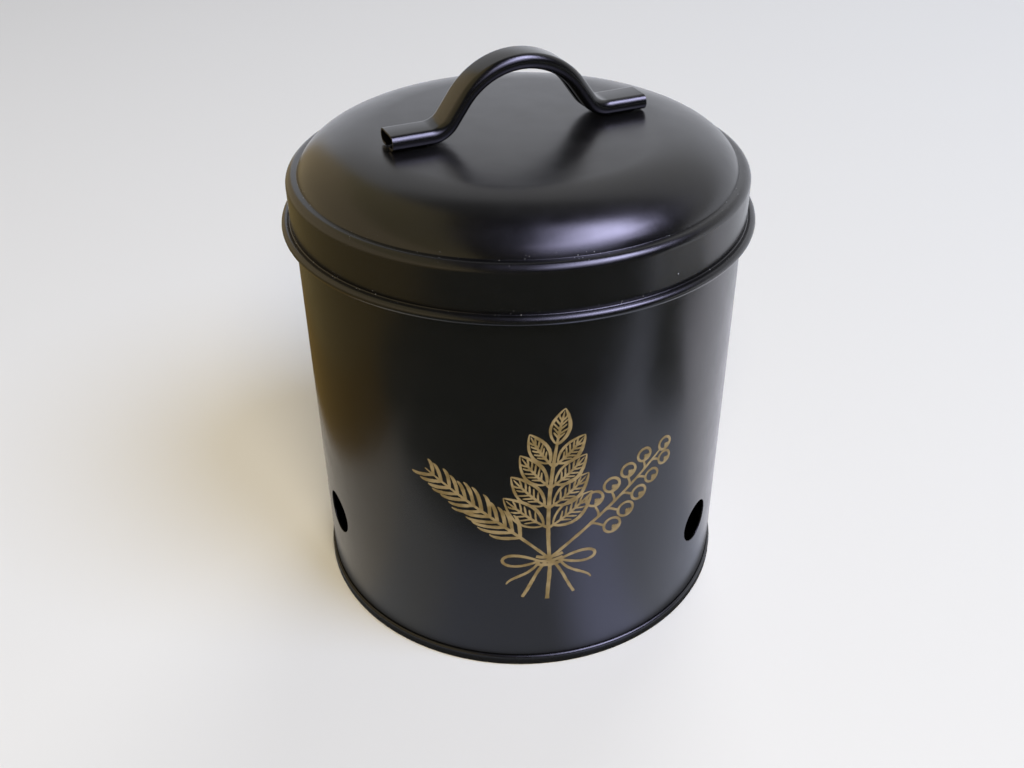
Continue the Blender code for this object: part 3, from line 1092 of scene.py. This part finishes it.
def make_lamps():
    for elevation, first, last, count, first_power, last_power in WINDOW_ROWS:
        for i in range(count):
            share = i / (count - 1)
            azimuth = between((first, last), share)
            power = between((first_power, last_power), share)
            name = f"window_{elevation}_{i}"
            add_lamp(name, azimuth, elevation, WINDOW_DISTANCE, WINDOW_LAMP, power, WINDOW_COLOUR, True)
    for name, azimuth, elevation, power, colour in FILLS:
        add_lamp(name, azimuth, elevation, FILL_DISTANCE, FILL_LAMP, power, colour, False)


def finish_glow(nodes, colour):
    glow = nodes.add("Emission", {"Color": colour, "Strength": 1.0})
    nodes.add("OutputMaterial", {"Surface": glow.outputs[0]})


def height_glow(name, bands):
    """Glow that fades from band to band upwards."""
    material = bpy.data.materials.new(name)
    material.cycles.emission_sampling = "NONE"
    nodes = Nodes(material)
    place = nodes.add("TexCoord").outputs["Object"]
    height = nodes.add("SeparateXYZ", {"Vector": place}).outputs["Z"]
    colour = bands[0][1] + (1.0,)
    for low, tone in bands[1:]:
        share = nodes.ramp(height, low - BAND_BLEND, low + BAND_BLEND)
        colour = nodes.mix(share, colour, tone + (1.0,))
    finish_glow(nodes, colour)
    return material


def zone_tone(brightness, tint):
    return tuple(brightness * channel for channel in tint) + (1.0,)


def zone_glow(name, zones):
    """Glow that changes with the direction from the tin's axis and fades close to the tin's foot."""
    material = bpy.data.materials.new(name)
    material.cycles.emission_sampling = "NONE"
    nodes = Nodes(material)
    split = nodes.add("SeparateXYZ", {"Vector": nodes.add("TexCoord").outputs["Object"]})
    forward = nodes.math("MULTIPLY", split.outputs["Y"], -1.0)
    azimuth = nodes.math("ARCTAN2", split.outputs["X"], forward)
    colour = zone_tone(*zones[0][1:])
    for start, brightness, tint in zones[1:]:
        middle = math.radians(start) - CARD_TURN
        share = nodes.ramp(azimuth, middle - ZONE_BLEND, middle + ZONE_BLEND)
        colour = nodes.mix(share, colour, zone_tone(brightness, tint))
    # Painted contact shadow: close to the tin's foot the glow darkens to CONTACT_SHADE.
    flat = nodes.add("CombineXYZ", {"X": split.outputs["X"], "Y": split.outputs["Y"]})
    radius = nodes.add("VectorMath", {0: flat.outputs[0]}, operation="LENGTH").outputs["Value"]
    clear = nodes.ramp(radius, FOOT_RING_OUTSIDE + CONTACT_START, FOOT_RING_OUTSIDE + CONTACT_REACH)
    colour = nodes.mix(clear, CONTACT_SHADE + (1.0,), colour)
    finish_glow(nodes, colour)
    return material


def add_card(name, corners, material):
    """Card in the cards' turned frame that only glossy reflections see."""
    mesh = bpy.data.meshes.new(name)
    mesh.from_pydata(corners, [], [range(len(corners))])
    card = add_object(name, mesh, material)
    card.rotation_euler.z = CARD_TURN
    card.visible_camera = False
    card.visible_diffuse = False
    card.visible_shadow = False


def floor_card(name, left, right, front, back, layer, material):
    height = CARD_LIFT * layer
    corners = [(left, front, height), (right, front, height), (right, back, height), (left, back, height)]
    add_card(name, corners, material)


def upright_card(name, start, end, material):
    corners = [(*start, 0), (*end, 0), (*end, CARD_HEIGHT), (*start, CARD_HEIGHT)]
    add_card(name, corners, material)


def make_cards():
    """Bright ground round the tin, shade in front and on the right, and tall cards on the left and behind."""
    ground = zone_glow("ground_glow", GROUND_ZONES)
    dark = height_glow("dark_glow", DARK_BANDS)
    brown = height_glow("brown_glow", BROWN_BANDS)
    pale = height_glow("pale_glow", PALE_BANDS)
    tan = height_glow("tan_glow", TAN_BANDS)
    floor_card("ground_card", GROUND_LEFT, GROUND_RIGHT, GROUND_FRONT, GROUND_BACK, 1, ground)
    floor_card("front_card", -CARD_REACH, CARD_REACH, -CARD_REACH, GROUND_FRONT, 2, dark)
    floor_card("left_card", -CARD_REACH, GROUND_LEFT, GROUND_FRONT, GROUND_BACK, 3, brown)
    floor_card("shade_card", SHADE_LEFT, GROUND_RIGHT, SHADE_FRONT, SHADE_MIDDLE, 4, dark)
    floor_card("far_shade_card", FAR_SHADE_LEFT, GROUND_RIGHT, SHADE_MIDDLE, SHADE_BACK, 4, dark)
    upright_card("back_upright_card", (SIDE_PLACE, GROUND_BACK), (CARD_REACH, GROUND_BACK), pale)
    upright_card("left_upright_card", (SIDE_PLACE, -CARD_REACH), (SIDE_PLACE, GROUND_BACK), tan)


def make_world():
    world = bpy.data.worlds.new("studio")
    bpy.context.scene.world = world
    nodes = Nodes(world)
    room = nodes.add("Background", {"Color": ROOM_TONE, "Strength": ROOM_STRENGTH})
    backdrop = nodes.add("Background", {"Color": BACKDROP_TONE, "Strength": 1.0})
    seen = nodes.add("LightPath").outputs["Is Camera Ray"]
    mixed = nodes.add("MixShader", {0: seen, 1: room.outputs[0], 2: backdrop.outputs[0]})
    nodes.add("OutputWorld", {"Surface": mixed.outputs[0]})


def main():
    make_camera()
    make_floor()
    make_lamps()
    make_cards()
    make_world()
    bpy.context.scene.view_settings.view_transform = "Standard"

    groove = (DOME_RADIUS + DOME_FILLET, LEDGE_HEIGHT, GROOVE_DUST_REACH)
    bead_corner = (SKIRT_RADIUS + BEAD_FILLET / 2, BEAD_HEIGHT + BEAD_RADIUS, BEAD_DUST_REACH)
    can_paint = satin_paint("can_paint", CAN_ROUGHNESS, FEW_SPECKS_SHARE)
    base_paint = satin_paint("base_paint", BASE_ROUGHNESS, FEW_SPECKS_SHARE)
    lid_paint = satin_paint("lid_paint", LID_ROUGHNESS, LID_SPECKS_SHARE, [groove, bead_corner])
    handle_paint = satin_paint("handle_paint", HANDLE_ROUGHNESS, FEW_SPECKS_SHARE)
    ink = print_ink("print_ink")

    shell = make_can_shell(can_paint)
    lap = make_seam_lap(can_paint)
    foot = make_foot(base_paint)
    cap = make_lid_cap(lid_paint)
    bow = make_bow(handle_paint)
    sprigs = make_print(ink)

    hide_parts("can_wall")
    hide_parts("can_base")
    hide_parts("lid_shell")
    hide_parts("lid_handle")
    can_slots = ((shell, "can_paint"), (lap, "can_paint"), (foot, "base_paint"), (sprigs, "print_ink"))
    for piece, slot in can_slots:
        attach(piece, "can")
    for piece, slot in ((cap, "lid_paint"), (bow, "handle_paint")):
        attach(piece, "lid")


main()
